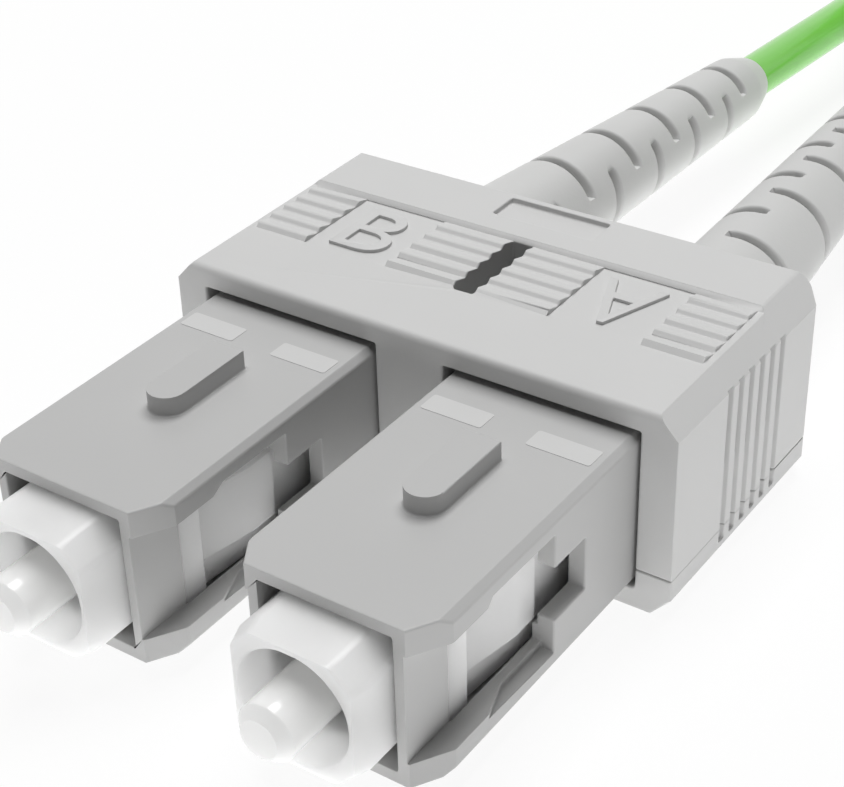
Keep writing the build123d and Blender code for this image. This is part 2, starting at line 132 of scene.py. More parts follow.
def mathNode(tree, operation, *values):
    node = tree.nodes.new("ShaderNodeMath")
    node.operation = operation
    for socket, value in zip(node.inputs, values):
        feed(tree, socket, value)
    return node.outputs[0]


def vectorNode(tree, operation, *values):
    node = tree.nodes.new("ShaderNodeVectorMath")
    node.operation = operation
    sockets = (node.inputs[0], node.inputs["Scale"]) if operation == "SCALE" else node.inputs
    for socket, value in zip(sockets, values):
        feed(tree, socket, value)
    return node.outputs[0]


def addSockets(tree, direction, sockets):
    for name, kind in sockets:
        tree.interface.new_socket(name, in_out=direction, socket_type=kind)


def startTree(name, inputs, output):
    tree = bpy.data.node_groups.new(name, "GeometryNodeTree")
    tree.is_modifier = True
    addSockets(tree, "INPUT", inputs)
    addSockets(tree, "OUTPUT", ((output, "NodeSocketGeometry"),))
    given = tree.nodes.new("NodeGroupInput").outputs
    result = tree.nodes.new("NodeGroupOutput").inputs
    return tree, given, result[output], partial(mathNode, tree)


def endTree(tree, geometry, material, result):
    realized = tree.nodes.new("GeometryNodeRealizeInstances")
    tree.links.new(geometry, realized.inputs[0])
    painted = tree.nodes.new("GeometryNodeSetMaterial")
    tree.links.new(realized.outputs[0], painted.inputs["Geometry"])
    tree.links.new(material, painted.inputs["Material"])
    tree.links.new(painted.outputs[0], result)


def runTree(piece, tree, values):
    modifier = piece.modifiers.new(tree.name, "NODES")
    modifier.node_group = tree
    for item in tree.interface.items_tree:
        if item.in_out == "INPUT" and item.name in values:
            modifier[item.identifier] = values[item.name]
    bakeModifiers(piece)


# shared surface texture: fine grain, soft clouds of tone, and a height for the bump
def makeGrainGroup():
    tree = bpy.data.node_groups.new("surfaceGrain", "ShaderNodeTree")
    addSockets(tree, "INPUT", (
        ("Colour", "NodeSocketColor"),
        ("Tint", "NodeSocketFloat"),
        ("Cloud scale", "NodeSocketFloat"),
        ("Grain scale", "NodeSocketFloat"),
        ("Stretch", "NodeSocketVector"),
        ("Roughness", "NodeSocketFloat"),
        ("Roughness spread", "NodeSocketFloat"),
    ))
    addSockets(tree, "OUTPUT", (
        ("Colour", "NodeSocketColor"),
        ("Roughness", "NodeSocketFloat"),
        ("Height", "NodeSocketFloat"),
    ))
    given = tree.nodes.new("NodeGroupInput").outputs
    result = tree.nodes.new("NodeGroupOutput").inputs
    place = tree.nodes.new("ShaderNodeTexCoord")
    mapping = tree.nodes.new("ShaderNodeMapping")
    tree.links.new(place.outputs["Object"], mapping.inputs["Vector"])
    tree.links.new(given["Stretch"], mapping.inputs["Scale"])
    cloud = tree.nodes.new("ShaderNodeTexNoise")
    cloud.inputs["Detail"].default_value = 2
    tree.links.new(mapping.outputs[0], cloud.inputs["Vector"])
    tree.links.new(given["Cloud scale"], cloud.inputs["Scale"])
    grain = tree.nodes.new("ShaderNodeTexNoise")
    grain.inputs["Detail"].default_value = 4
    grain.inputs["Roughness"].default_value = 0.6
    tree.links.new(mapping.outputs[0], grain.inputs["Vector"])
    tree.links.new(given["Grain scale"], grain.inputs["Scale"])
    grainShare = 0.35
    both = mathNode(tree, "MULTIPLY_ADD", grain.outputs["Fac"], grainShare, cloud.outputs["Fac"])
    swing = mathNode(tree, "SUBTRACT", both, 0.5 + 0.5 * grainShare)
    share = mathNode(tree, "MULTIPLY_ADD", swing, given["Tint"], 1.0)
    tree.links.new(vectorNode(tree, "SCALE", given["Colour"], share), result["Colour"])
    rough = mathNode(tree, "SUBTRACT", grain.outputs["Fac"], 0.5)
    rough = mathNode(tree, "MULTIPLY_ADD", rough, given["Roughness spread"], given["Roughness"])
    tree.links.new(rough, result["Roughness"])
    tree.links.new(grain.outputs["Fac"], result["Height"])
    return tree


grainGroup = makeGrainGroup()


finishBase = {
    "bump": 0.4,
    "coatRoughness": 0.12,
    "milkyDepth": 4 * mm,
}


def makeFinish(name, colour, roughness, tint=0.06, cloud=170, grain=7000, depth=0.000008, spread=0.12,
               stretch=(1, 1, 1), metallic=0.0, specular=0.45, coat=0.0, milky=0.0):
    material = bpy.data.materials.new(name)
    material.use_nodes = True
    tree = material.node_tree
    shader = tree.nodes["Principled BSDF"]
    group = tree.nodes.new("ShaderNodeGroup")
    group.node_tree = grainGroup
    values = {
        "Colour": (*colour, 1),
        "Tint": tint,
        "Cloud scale": cloud,
        "Grain scale": grain,
        "Stretch": stretch,
        "Roughness": roughness,
        "Roughness spread": spread,
    }
    for socket, value in values.items():
        group.inputs[socket].default_value = value
    tree.links.new(group.outputs["Colour"], shader.inputs["Base Color"])
    tree.links.new(group.outputs["Roughness"], shader.inputs["Roughness"])
    bump = tree.nodes.new("ShaderNodeBump")
    bump.inputs["Strength"].default_value = finishBase["bump"]
    bump.inputs["Distance"].default_value = depth
    tree.links.new(group.outputs["Height"], bump.inputs["Height"])
    tree.links.new(bump.outputs["Normal"], shader.inputs["Normal"])
    shader.inputs["Metallic"].default_value = metallic
    shader.inputs["Specular IOR Level"].default_value = specular
    shader.inputs["Coat Weight"].default_value = coat
    shader.inputs["Coat Roughness"].default_value = finishBase["coatRoughness"]
    shader.inputs["Subsurface Weight"].default_value = milky
    shader.inputs["Subsurface Radius"].default_value = (1, 1, 1)
    shader.inputs["Subsurface Scale"].default_value = finishBase["milkyDepth"]
    return material


finishes = {
    "clip_plastic": makeFinish("clipPlastic", (0.615, 0.615, 0.611), 0.46),
    "grip_plastic": makeFinish("gripPlastic", (0.500, 0.500, 0.497), 0.42, tint=0.05),
    "white_plastic": makeFinish("plugPlastic", (0.945, 0.945, 0.938), 0.38, tint=0.03,
                                depth=0.000005, milky=0.85),
    "ceramic": makeFinish("ferruleCeramic", (0.890, 0.890, 0.882), 0.16, tint=0.01, grain=16000,
                          depth=0.000001, spread=0.05, specular=0.6, milky=0.4),
    "plated_metal": makeFinish("nickelPlate", (0.700, 0.685, 0.655), 0.26, tint=0.08, metallic=1.0,
                               stretch=(1, 14, 1), depth=0.000003),
    "spring_steel": makeFinish("springWire", (0.560, 0.560, 0.570), 0.30, tint=0.10, metallic=1.0,
                               depth=0.000003),
    "sleeve_metal": makeFinish("crimpMetal", (0.640, 0.640, 0.650), 0.38, tint=0.10, metallic=1.0,
                               stretch=(1, 10, 1), depth=0.000005),
    "boot_rubber": makeFinish("bootRubber", (0.610, 0.610, 0.605), 0.60, grain=5200, depth=0.000014),
    "cord_jacket": makeFinish("cordJacket", (0.185, 0.585, 0.072), 0.30, tint=0.10, cloud=420,
                              grain=4200, depth=0.000004, spread=0.10, specular=0.5, coat=0.6),
    "tie_plastic": makeFinish("tieNylon", (0.022, 0.022, 0.024), 0.44, tint=0.25, grain=2600,
                              depth=0.00003),
}
markPaint = makeFinish("markPaint", (0.610, 0.610, 0.606), 0.50, tint=0.05, grain=9000)
yarnFibre = makeFinish("aramidYarn", (0.660, 0.480, 0.120), 0.50, tint=0.30, cloud=2500)
for name, node in nodes.items():
    node.data.materials.clear()
    node.data.materials.append(finishes[slotOf[name]])
print("finishes made")


def settle(piece, body, slot, *replaced):
    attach(piece, body)
    if replaced:
        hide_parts(*replaced)
    return piece


# boots: a tapered sleeve whose half-round slots alternate between two sides and crowd towards the tip
bootSizes = {
    "radius": 3.0,
    "taper": 0.0405,
    "length": 28.0,
    "tipChamfer": 1.6,
    "endRadius": 1.42,
    "bore": 1.28,
    "rootY": 6.5,
    "rootBore": 2.15,
    "neck": (-5.9, 2.7),  # start behind the clip's rear face, radius
    "collar": (-2.6, -0.3, 3.1),  # from, to, radius
    "slots": 10,
    "firstSlot": 5.6,
    "slotPitch": 2.93,
    "crowding": 0.85,
    "slotWidth": 0.52,
    "slotLip": 0.14,
    "slotDepth": 1.05,
    "slotFloor": 1.38,  # least radius at the bottom of a slot
    "slotArc": 202.0,
    "slotOverlap": 19.0,
    "slotEnd": 7.0,  # degrees in which a slot runs out
    "columns": 120,
}
bootPlaces = {
    "a": {"x": 6.35, "z": 4.75, "lean": -3.1, "rise": 1.5, "turn": -2.5},
    "b": {"x": -6.35, "z": 4.75, "lean": 4.18, "rise": 0.0, "turn": 56.5},
}
slotSection = (  # place across the slot and share of its depth
    (-1.25, 0.0), (-1.0, 0.0), (-0.82, 0.03), (-0.68, 0.12), (-0.58, 0.35), (-0.53, 0.7), (-0.5, 1.0),
    (0.5, 1.0), (0.53, 0.7), (0.58, 0.35), (0.68, 0.12), (0.82, 0.03), (1.0, 0.0), (1.25, 0.0),
)


def outDirections(place):
    lean, rise = radians(place["lean"]), radians(place["rise"])
    out = Vector((sin(lean) * cos(rise), cos(lean) * cos(rise), sin(rise)))
    across = Vector((cos(lean), -sin(lean), 0))
    return out, across, across.cross(out)


def bootProfile(s):
    # fixed rows from the rim over the tip, back through the bore and round the collar
    rim = s["length"] - s["tipChamfer"]
    rimRadius = s["radius"] - s["taper"] * rim
    slope = (rimRadius - s["endRadius"]) / s["tipChamfer"]
    neckStart, neckRadius = s["neck"]
    collarStart, collarEnd, collarRadius = s["collar"]
    rows = [
        (rim - 0.35, rimRadius + s["taper"] * 0.35),
        (rim - 0.12, rimRadius + 0.002),
        (rim + 0.03, rimRadius - 0.014),
        (rim + 0.18, rimRadius - slope * 0.18),
        (s["length"] - 0.16, s["endRadius"] + slope * 0.16),
        (s["length"] - 0.03, s["endRadius"] - 0.005),
        (s["length"], s["endRadius"] - 0.05),
        (s["length"], s["bore"] + 0.04),
        (s["length"] - 0.04, s["bore"]),
        (0.05, s["bore"]),
        (0.05, s["rootBore"]),
        (neckStart, s["rootBore"]),
        (neckStart, neckRadius - 0.08),
        (neckStart + 0.08, neckRadius),
        (collarStart, neckRadius),
        (collarStart, collarRadius - 0.06),
        (collarStart + 0.06, collarRadius),
        (collarEnd - 0.06, collarRadius),
        (collarEnd, collarRadius - 0.06),
        (collarEnd, s["radius"] + 0.01),
        (0.3, s["radius"] - s["taper"] * 0.3),
        (0.6, s["radius"] - s["taper"] * 0.6),
    ]
    mesh = bpy.data.meshes.new("bootRows")
    mesh.from_pydata([(a * mm, r * mm, 0) for a, r in rows], [(i, i + 1) for i in range(len(rows) - 1)], [])
    return mesh


def makeBootTree():
    tree, given, result, calc = startTree("bootSleeve", (
        ("Rows", "NodeSocketGeometry"),
        ("Root", "NodeSocketVector"),
        ("Out", "NodeSocketVector"),
        ("Across", "NodeSocketVector"),
        ("Up", "NodeSocketVector"),
        ("Radius", "NodeSocketFloat"),
        ("Taper", "NodeSocketFloat"),
        ("Slots", "NodeSocketInt"),
        ("First slot", "NodeSocketFloat"),
        ("Slot pitch", "NodeSocketFloat"),
        ("Crowding", "NodeSocketFloat"),
        ("Slot half width", "NodeSocketFloat"),
        ("Slot depth", "NodeSocketFloat"),
        ("Slot floor", "NodeSocketFloat"),
        ("Slot arc", "NodeSocketFloat"),
        ("Slot overlap", "NodeSocketFloat"),
        ("Slot end", "NodeSocketFloat"),
        ("Turn", "NodeSocketFloat"),
        ("Columns", "NodeSocketInt"),
        ("Material", "NodeSocketMaterial"),
    ), "Sleeve")
    steps = len(slotSection)

    def choose(kind, test, no, yes):
        node = tree.nodes.new("GeometryNodeSwitch")
        node.input_type = kind
        feed(tree, node.inputs["Switch"], test)
        feed(tree, node.inputs["False"], no)
        feed(tree, node.inputs["True"], yes)
        return node.outputs[0]

    def pick(index, values):
        node = tree.nodes.new("GeometryNodeIndexSwitch")
        node.data_type = "FLOAT"
        while len(node.index_switch_items) < len(values):
            node.index_switch_items.new()
        feed(tree, node.inputs[0], index)
        for socket, value in zip(node.inputs[1:], values):
            socket.default_value = value
        return node.outputs[0]

    def smoothStep(value, low, high):
        node = tree.nodes.new("ShaderNodeMapRange")
        node.interpolation_type = "SMOOTHSTEP"
        feed(tree, node.inputs["Value"], value)
        feed(tree, node.inputs["From Min"], low)
        feed(tree, node.inputs["From Max"], high)
        return node.outputs[0]

    # a grid of rows and columns, each closed on itself
    size = tree.nodes.new("GeometryNodeAttributeDomainSize")
    tree.links.new(given["Rows"], size.inputs["Geometry"])
    slotRows = calc("MULTIPLY", given["Slots"], steps)
    lastRow = calc("ADD", slotRows, size.outputs["Point Count"])
    grid = tree.nodes.new("GeometryNodeMeshGrid")
    feed(tree, grid.inputs["Size X"], lastRow)
    feed(tree, grid.inputs["Size Y"], given["Columns"])
    feed(tree, grid.inputs["Vertices X"], calc("ADD", lastRow, 1))
    feed(tree, grid.inputs["Vertices Y"], calc("ADD", given["Columns"], 1))
    spot = tree.nodes.new("GeometryNodeInputPosition")
    apart = tree.nodes.new("ShaderNodeSeparateXYZ")
    tree.links.new(spot.outputs[0], apart.inputs[0])
    row = calc("ROUND", calc("MULTIPLY_ADD", lastRow, 0.5, apart.outputs["X"]))
    row = calc("FLOORED_MODULO", row, lastRow)
    column = calc("ROUND", calc("MULTIPLY_ADD", given["Columns"], 0.5, apart.outputs["Y"]))
    angle = calc("DIVIDE", calc("MULTIPLY", column, 360.0), given["Columns"])

    # rows across each slot
    number = calc("FLOOR", calc("DIVIDE", calc("ADD", row, 0.25), steps))
    step = calc("ROUND", calc("SUBTRACT", row, calc("MULTIPLY", number, steps)))
    spaced = calc("POWER", number, given["Crowding"])
    middle = calc("MULTIPLY_ADD", spaced, given["Slot pitch"], given["First slot"])
    across = pick(step, [p for p, c in slotSection])
    alongSlot = calc("MULTIPLY_ADD", across, given["Slot half width"], middle)
    radiusSlot = calc("SUBTRACT", given["Radius"], calc("MULTIPLY", alongSlot, given["Taper"]))
    side = calc("MODULO", number, 2.0)
    start = calc("SUBTRACT", given["Turn"], calc("MULTIPLY", given["Slot overlap"], 0.5))
    start = calc("MULTIPLY_ADD", side, calc("SUBTRACT", given["Slot overlap"], given["Slot arc"]), start)
    reach = calc("FLOORED_MODULO", calc("SUBTRACT", angle, start), 360.0)
    opening = smoothStep(reach, 0.0, given["Slot end"])
    closing = smoothStep(calc("SUBTRACT", given["Slot arc"], reach), 0.0, given["Slot end"])
    share = calc("MULTIPLY", calc("MULTIPLY", opening, closing), pick(step, [c for p, c in slotSection]))
    deep = calc("MINIMUM", given["Slot depth"], calc("SUBTRACT", radiusSlot, given["Slot floor"]))
    radiusSlot = calc("SUBTRACT", radiusSlot, calc("MULTIPLY", share, deep))

    # fixed rows, as drawn
    drawn = tree.nodes.new("GeometryNodeSampleIndex")
    drawn.data_type = "FLOAT_VECTOR"
    tree.links.new(given["Rows"], drawn.inputs["Geometry"])
    tree.links.new(spot.outputs[0], drawn.inputs["Value"])
    feed(tree, drawn.inputs["Index"], calc("SUBTRACT", row, slotRows))
    drawnApart = tree.nodes.new("ShaderNodeSeparateXYZ")
    tree.links.new(drawn.outputs[0], drawnApart.inputs[0])
    isSlot = calc("LESS_THAN", calc("ADD", row, 0.25), slotRows)
    along = choose("FLOAT", isSlot, drawnApart.outputs["X"], alongSlot)
    radius = choose("FLOAT", isSlot, drawnApart.outputs["Y"], radiusSlot)

    # the root stays in line with the connector, the rest leans
    inside = calc("LESS_THAN", along, 0.0)
    axis = choose("VECTOR", inside, given["Out"], (0, 1, 0))
    turned = calc("RADIANS", angle)
    ring = vectorNode(tree, "ADD",
                      vectorNode(tree, "SCALE", given["Across"], calc("SINE", turned)),
                      vectorNode(tree, "SCALE", given["Up"], calc("COSINE", turned)))
    place = vectorNode(tree, "ADD", given["Root"], vectorNode(tree, "SCALE", axis, along))
    place = vectorNode(tree, "ADD", place, vectorNode(tree, "SCALE", ring, radius))
    shaped = tree.nodes.new("GeometryNodeSetPosition")
    tree.links.new(grid.outputs["Mesh"], shaped.inputs["Geometry"])
    tree.links.new(place, shaped.inputs["Position"])
    merged = tree.nodes.new("GeometryNodeMergeByDistance")
    tree.links.new(shaped.outputs[0], merged.inputs["Geometry"])
    merged.inputs["Distance"].default_value = 1e-7
    endTree(tree, merged.outputs[0], given["Material"], result)
    return tree


bootTree = makeBootTree()


def makeBoot(tag, place, s):
    out, across, up = outDirections(place)
    boot = newObject(f"bootSleeve_{tag}", bootProfile(s))
    runTree(boot, bootTree, {
        "Root": Vector((place["x"], s["rootY"], place["z"])) * mm,
        "Out": out,
        "Across": across,
        "Up": up,
        "Radius": s["radius"] * mm,
        "Taper": s["taper"],
        "Slots": s["slots"],
        "First slot": s["firstSlot"] * mm,
        "Slot pitch": s["slotPitch"] * mm,
        "Crowding": s["crowding"],
        "Slot half width": (s["slotWidth"] / 2 + s["slotLip"]) * mm,
        "Slot depth": s["slotDepth"] * mm,
        "Slot floor": s["slotFloor"] * mm,
        "Slot arc": s["slotArc"],
        "Slot overlap": s["slotOverlap"],
        "Slot end": s["slotEnd"],
        "Turn": place["turn"],
        "Columns": s["columns"],
        "Material": finishes["boot_rubber"],
    })
    closeMesh(boot.data)
    boot.data.shade_smooth()
    boot.data.set_sharp_from_angle(angle=radians(50))
    return settle(boot, f"plug_{tag}", "boot_rubber", f"boot_{tag}")


for tag, place in bootPlaces.items():
    makeBoot(tag, place, bootSizes)
print("boots made")


# springs: round wire with close end turns
springSizes = {
    "radius": 1.62,
    "wire": 0.2,
    "turns": 5.0,
    "endTurns": 0.9,
    "endPitch": 0.42,
    "stop": -8.6,  # face of the stop that the rear end bears on
    "stepsPerTurn": 36,
    "wireSides": 12,
}


def makeSpringTree():
    tree, given, result, calc = startTree("springHelix", (
        ("Base", "NodeSocketGeometry"),
        ("Front", "NodeSocketVector"),
        ("Length", "NodeSocketFloat"),
        ("Radius", "NodeSocketFloat"),
        ("Wire radius", "NodeSocketFloat"),
        ("Turns", "NodeSocketFloat"),
        ("End turns", "NodeSocketFloat"),
        ("End pitch", "NodeSocketFloat"),
        ("Steps per turn", "NodeSocketInt"),
        ("Wire sides", "NodeSocketInt"),
        ("Material", "NodeSocketMaterial"),
    ), "Spring")
    spiral = tree.nodes.new("GeometryNodeCurveSpiral")
    feed(tree, spiral.inputs["Resolution"], given["Steps per turn"])
    feed(tree, spiral.inputs["Rotations"], given["Turns"])
    feed(tree, spiral.inputs["Start Radius"], given["Radius"])
    feed(tree, spiral.inputs["End Radius"], given["Radius"])
    feed(tree, spiral.inputs["Height"], given["Length"])

    # close turns at each end and open ones between them, along the connector
    share = tree.nodes.new("GeometryNodeSplineParameter")
    turn = calc("MULTIPLY", share.outputs["Factor"], given["Turns"])
    first = calc("MINIMUM", turn, given["End turns"])
    last = calc("MAXIMUM", calc("ADD", calc("SUBTRACT", turn, given["Turns"]), given["End turns"]), 0.0)
    closeTurns = calc("ADD", first, last)
    openLength = calc("SUBTRACT", given["Length"],
                      calc("MULTIPLY", calc("MULTIPLY", given["End turns"], given["End pitch"]), 2.0))
    openTurns = calc("SUBTRACT", given["Turns"], calc("MULTIPLY", given["End turns"], 2.0))
    rise = calc("MULTIPLY", calc("SUBTRACT", turn, closeTurns), calc("DIVIDE", openLength, openTurns))
    rise = calc("MULTIPLY_ADD", closeTurns, given["End pitch"], rise)
    spot = tree.nodes.new("GeometryNodeInputPosition")
    apart = tree.nodes.new("ShaderNodeSeparateXYZ")
    tree.links.new(spot.outputs[0], apart.inputs[0])
    turned = tree.nodes.new("ShaderNodeCombineXYZ")
    feed(tree, turned.inputs["X"], apart.outputs["X"])
    feed(tree, turned.inputs["Y"], rise)
    feed(tree, turned.inputs["Z"], apart.outputs["Y"])
    wound = tree.nodes.new("GeometryNodeSetPosition")
    tree.links.new(spiral.outputs["Curve"], wound.inputs["Geometry"])
    feed(tree, wound.inputs["Position"], vectorNode(tree, "ADD", turned.outputs[0], given["Front"]))

    section = tree.nodes.new("GeometryNodeCurvePrimitiveCircle")
    feed(tree, section.inputs["Resolution"], given["Wire sides"])
    feed(tree, section.inputs["Radius"], given["Wire radius"])
    wire = tree.nodes.new("GeometryNodeCurveToMesh")
    wire.inputs["Fill Caps"].default_value = True
    tree.links.new(wound.outputs[0], wire.inputs["Curve"])
    tree.links.new(section.outputs["Curve"], wire.inputs["Profile Curve"])
    endTree(tree, wire.outputs[0], given["Material"], result)
    return tree


springTree = makeSpringTree()


def makeSpring(tag, place, s):
    low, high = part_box(f"spring_{tag}")
    wire = s["wire"] * mm
    spring = newObject(f"springCoil_{tag}", bpy.data.meshes.new(f"springCoil_{tag}"))
    runTree(spring, springTree, {
        "Front": Vector((place["x"] * mm, low.y + wire, place["z"] * mm)),
        "Length": high.y - low.y - 2 * wire,
        "Radius": s["radius"] * mm,
        "Wire radius": wire,
        "Turns": s["turns"],
        "End turns": s["endTurns"],
        "End pitch": s["endPitch"] * mm,
        "Steps per turn": s["stepsPerTurn"],
        "Wire sides": s["wireSides"],
        "Material": finishes["spring_steel"],
    })
    closeMesh(spring.data)
    spring.data.shade_smooth()
    spring.data.set_sharp_from_angle(angle=radians(50))
    settle(spring, f"plug_{tag}", "spring_steel", f"spring_{tag}")
    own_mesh(spring)
    return spring


for tag, place in bootPlaces.items():
    makeSpring(tag, place, springSizes)
print("springs wound")


# cords: straight through the boot, on to the floor, and wound into a tied hank beyond the view
cordSizes = {
    "diameter": 2.5 * mm,
    "length": 1.0,
}
hankSizes = {
    "centre": (5.0, 77.0),  # middle of the near bow, mm
    "run": 14.0,
    "turnRadii": (13.1, 10.55, 8.0),
    "layer": 2.55,
    "rows": 4,
    "pointsPerTurn": 18,
    "passing": 14.0,  # length in which one turn passes to the next
    "lastShare": 0.8,
    "layZ": {"a": 12.25, "b": 1.95},
}
cordRoutes = {
    "a": {"bend": (-3.5, 8.0), "past": ((9.0, 53.0, 7.2), (16.2, 64.5, 12.85), (18.1, 77.0, 12.25))},
    "b": {"bend": (6.0, 16.0), "past": ((-6.4, 60.5, 2.8), (-8.2, 69.5, 1.95), (-8.1, 77.0, 1.95))},
}
endSizes = {
    "buffer": 0.45,  # radius of the buffered fibre
    "glass": 0.125,
    "bare": 5.0,
    "glassBare": 2.0,
    "yarns": 70,
    "yarnLength": 4.2,
    "yarnRadius": 0.035,
    "yarnSpread": 0.95,
    "sides": 20,
    "sunk": 0.4,  # start inside the jacket
    "rim": 0.06,
    "seeds": {"a": 7, "b": 11},
}
yarnShape = {
    "firstHandle": 0.8,
    "lastHandle": (0.05, 0.7),  # shares of the length, sideways and onward
    "tipAside": 0.16,
    "tilt": 0.07,
    "shortest": 0.6,
}


def smooth(t):
    t = min(max(t, 0.0), 1.0)
    return t * t * (3 - 2 * t)


def loopPlace(along, radius, run, middle):
    bow = pi * middle
    along = along % (2 * run + 2 * bow)
    if along < run:
        return -radius, along
    if along < run + bow:
        angle = pi - (along - run) / middle
        return radius * cos(angle), run + radius * sin(angle)
    if along < 2 * run + bow:
        return radius, run - (along - run - bow)
    angle = -(along - 2 * run - bow) / middle
    return radius * cos(angle), radius * sin(angle)


def hankPoints(tag, h):
    radii = h["turnRadii"]
    middle = radii[1]
    turnLength = 2 * h["run"] + 2 * pi * middle
    step = turnLength / h["pointsPerTurn"]
    turns = []
    for row in range(h["rows"]):
        turns += [(r, row) for r in (radii if row % 2 == 0 else radii[::-1])]
    firstPass = h["run"] + pi * middle + 0.5
    between = turnLength - h["passing"]  # each passing place lies just before the last one
    end = firstPass + (len(turns) - 2) * between + h["passing"] + between * h["lastShare"]
    points = []
    for i in range(1, int(end / step) + 1):
        along = i * step
        r, row = turns[0]
        if along > firstPass:
            k = min(int((along - firstPass) / between), len(turns) - 2)
            t = smooth((along - firstPass - k * between) / h["passing"])
            r = turns[k][0] + (turns[k + 1][0] - turns[k][0]) * t
            row = turns[k][1] + (turns[k + 1][1] - turns[k][1]) * t
        x, y = loopPlace(along, r * 1.012, h["run"], middle)  # the spline runs just inside its points
        x = x if tag == "b" else -x
        points.append((h["centre"][0] + x, h["centre"][1] + y, h["layZ"][tag] + row * h["layer"]))
    return points


def cordPoints(tag):
    place = bootPlaces[tag]
    out = outDirections(place)[0]
    root = Vector((place["x"], bootSizes["rootY"], place["z"]))
    tip = root + out * bootSizes["length"]
    points = [root + out * 0.15] + [tip + out * d for d in cordRoutes[tag]["bend"]]
    points += [Vector(p) for p in cordRoutes[tag]["past"]]
    points += [Vector(p) for p in hankPoints(tag, hankSizes)]
    return tip, points


def makeCord(tag, points, s):
    curve = bpy.data.curves.new(f"cordLine_{tag}", "CURVE")
    curve.dimensions = "3D"
    spline = curve.splines.new("NURBS")
    spline.points.add(len(points) - 1)
    for point, place in zip(spline.points, points):
        point.co = (*(place * mm), 1)
    spline.order_u = 3
    spline.use_endpoint_u = True
    spline.resolution_u = 6
    curve.bevel_depth = s["diameter"] / 2
    curve.bevel_resolution = 6
    curve.use_fill_caps = True
    curve.materials.append(finishes["cord_jacket"])
    cord = newObject(f"cordLine_{tag}", curve)
    settle(cord, f"plug_{tag}", "cord_jacket", f"cord_{tag}", f"cord_coil_{tag}")
    return cord


# the cut end of a cord: buffered fibre with the bare glass beyond it, and a tuft of aramid yarn
def endFrame(points):
    tip = points[-1] * mm
    turn = (points[-1] - points[-2]).to_track_quat("Z", "Y").to_matrix().to_4x4()
    return Matrix.Translation(tip) @ turn


def makeBuffer(tag, frameOfEnd, s):
    bm = bmesh.new()
    bare, glass, sides = s["bare"] * mm, s["glassBare"] * mm, s["sides"]
    rings = (
        (-s["sunk"] * mm, s["buffer"]), (bare - s["rim"] * mm, s["buffer"]), (bare, s["buffer"] - s["rim"]),
        (bare, s["glass"]), (bare + glass, s["glass"]),
    )
    loops = []
    for z, r in rings:
        angles = [2 * pi * i / sides for i in range(sides)]
        loops.append([bm.verts.new((r * mm * cos(a), r * mm * sin(a), z)) for a in angles])
    for low, high in zip(loops, loops[1:]):
        for i in range(sides):
            n = (i + 1) % sides
            bm.faces.new((low[i], low[n], high[n], high[i]))
    bm.faces.new(loops[0][::-1])
    bm.faces.new(loops[-1])
    bmesh.ops.recalc_face_normals(bm, faces=bm.faces)
    mesh = bpy.data.meshes.new(f"bufferEnd_{tag}")
    bm.to_mesh(mesh)
    bm.free()
    mesh.transform(frameOfEnd)
    mesh.shade_smooth()
    mesh.set_sharp_from_angle(angle=radians(40))
    mesh.materials.append(finishes["white_plastic"])
    return settle(newObject(f"bufferEnd_{tag}", mesh), f"plug_{tag}", "white_plastic")


